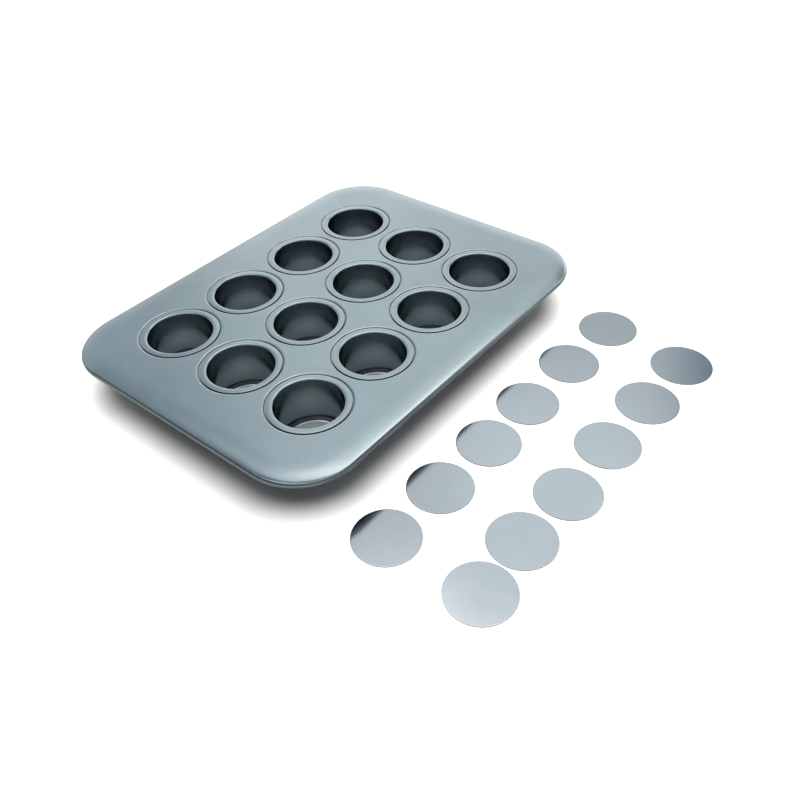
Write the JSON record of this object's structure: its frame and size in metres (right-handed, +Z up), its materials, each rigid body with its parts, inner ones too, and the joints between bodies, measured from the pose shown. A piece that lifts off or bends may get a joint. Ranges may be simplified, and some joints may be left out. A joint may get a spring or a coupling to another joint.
{
  "type": "mini cheesecake pan",
  "caption": "Flat rectangular tray with a rolled rim, round open-bottomed cups seated in a grid, and thin round loose bottoms lying beside it.",
  "frame": {"origin": "middle of the floor under the bounding box of the tray and its loose bottoms", "axes": "+Z up, out of the cup mouths; +Y across the pan, away from the loose bottoms; +X along the tray's long side"},
  "size_m": [0.353, 0.4046, 0.0373],
  "materials": {
    "tray_coating": "satin grey-blue nonstick coating on sheet steel",
    "cup_coating": "satin grey-blue nonstick coating on drawn sheet steel",
    "bottom_coating": "smooth semi-gloss grey nonstick coating on thin flat sheet",
    "rim_wire": "bare drawn steel wire, closed in by the rolled rim"
  },
  "bodies": {
    "pan": {"tray": "tray_coating", "rim_wire": "rim_wire", "cup_01": "cup_coating", "cup_02": "cup_coating", "cup_03": "cup_coating", "cup_04": "cup_coating", "cup_05": "cup_coating", "cup_06": "cup_coating", "cup_07": "cup_coating", "cup_08": "cup_coating", "cup_09": "cup_coating", "cup_10": "cup_coating", "cup_11": "cup_coating", "cup_12": "cup_coating"},
    "bottom_01": {"loose_bottom_01": "bottom_coating"},
    "bottom_02": {"loose_bottom_02": "bottom_coating"},
    "bottom_03": {"loose_bottom_03": "bottom_coating"},
    "bottom_04": {"loose_bottom_04": "bottom_coating"},
    "bottom_05": {"loose_bottom_05": "bottom_coating"},
    "bottom_06": {"loose_bottom_06": "bottom_coating"},
    "bottom_07": {"loose_bottom_07": "bottom_coating"},
    "bottom_08": {"loose_bottom_08": "bottom_coating"},
    "bottom_09": {"loose_bottom_09": "bottom_coating"},
    "bottom_10": {"loose_bottom_10": "bottom_coating"},
    "bottom_11": {"loose_bottom_11": "bottom_coating"},
    "bottom_12": {"loose_bottom_12": "bottom_coating"}
  },
  "joints": [
    {"name": "bottom_lift_01", "type": "slide", "parent": "pan", "child": "bottom_01", "axis": [0, 0, 1], "range_m": [0, 0.06]},
    {"name": "bottom_lift_02", "type": "slide", "parent": "pan", "child": "bottom_02", "axis": [0, 0, 1], "range_m": [0, 0.06]},
    {"name": "bottom_lift_03", "type": "slide", "parent": "pan", "child": "bottom_03", "axis": [0, 0, 1], "range_m": [0, 0.06]},
    {"name": "bottom_lift_04", "type": "slide", "parent": "pan", "child": "bottom_04", "axis": [0, 0, 1], "range_m": [0, 0.06]},
    {"name": "bottom_lift_05", "type": "slide", "parent": "pan", "child": "bottom_05", "axis": [0, 0, 1], "range_m": [0, 0.06]},
    {"name": "bottom_lift_06", "type": "slide", "parent": "pan", "child": "bottom_06", "axis": [0, 0, 1], "range_m": [0, 0.06]},
    {"name": "bottom_lift_07", "type": "slide", "parent": "pan", "child": "bottom_07", "axis": [0, 0, 1], "range_m": [0, 0.06]},
    {"name": "bottom_lift_08", "type": "slide", "parent": "pan", "child": "bottom_08", "axis": [0, 0, 1], "range_m": [0, 0.06]},
    {"name": "bottom_lift_09", "type": "slide", "parent": "pan", "child": "bottom_09", "axis": [0, 0, 1], "range_m": [0, 0.06]},
    {"name": "bottom_lift_10", "type": "slide", "parent": "pan", "child": "bottom_10", "axis": [0, 0, 1], "range_m": [0, 0.06]},
    {"name": "bottom_lift_11", "type": "slide", "parent": "pan", "child": "bottom_11", "axis": [0, 0, 1], "range_m": [0, 0.06]},
    {"name": "bottom_lift_12", "type": "slide", "parent": "pan", "child": "bottom_12", "axis": [0, 0, 1], "range_m": [0, 0.06]}
  ]
}
